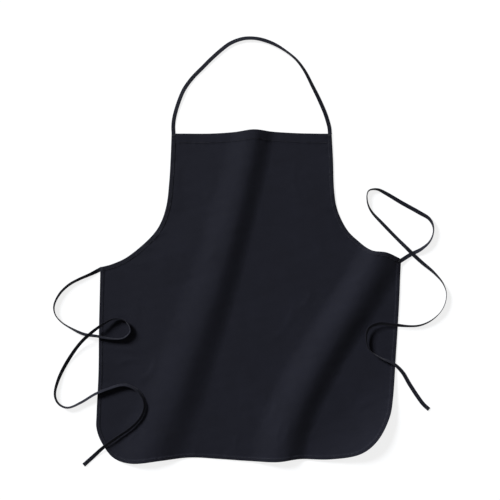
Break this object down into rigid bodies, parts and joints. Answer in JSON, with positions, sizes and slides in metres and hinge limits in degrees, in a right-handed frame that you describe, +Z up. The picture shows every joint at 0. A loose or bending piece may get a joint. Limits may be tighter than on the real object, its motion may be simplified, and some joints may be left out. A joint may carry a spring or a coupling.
{
  "type": "bib apron",
  "caption": "Bib apron of plain dark twill lying face up, with hemmed edges, tape-bound armholes, a tape neck loop that folds over the bib, and long waist ties lying in loose curves.",
  "frame": {"origin": "on the surface that the apron lies on, under the middle of the panel's outline, the neck loop and the ties left out", "axes": "+X across the apron to the viewer's right, which is the wearer's left; +Y from the skirt's lower edge towards the neck; +Z up from the surface, out of the apron's face"},
  "size_m": [0.8253, 0.9034, 0.0183],
  "materials": {
    "twill": "matt near-black twill",
    "tape": "matt black folded twill tape",
    "thread": "black polyester sewing thread with a slight sheen"
  },
  "bodies": {
    "apron": {"body_panel": "twill", "bib_hem": "twill", "left_side_hem": "twill", "right_side_hem": "twill", "bottom_hem": "twill", "left_armhole_binding": "tape", "right_armhole_binding": "tape", "left_waist_tie": "tape", "right_waist_tie": "tape", "left_neck_bartack": "thread", "right_neck_bartack": "thread", "left_waist_bartack": "thread", "right_waist_bartack": "thread", "left_tie_end_tack": "thread", "right_tie_end_tack": "thread", "bib_hem_stitching": "thread", "skirt_hem_stitching": "thread", "left_binding_stitching": "thread", "right_binding_stitching": "thread"},
    "neck_loop": {"neck_loop": "tape"}
  },
  "joints": [
    {"name": "neck_loop_fold", "type": "hinge", "parent": "apron", "child": "neck_loop", "pos_m": [0.0055, 0.3423, 0.0027], "axis": [1, 0, 0], "range_deg": [0, 172]}
  ]
}
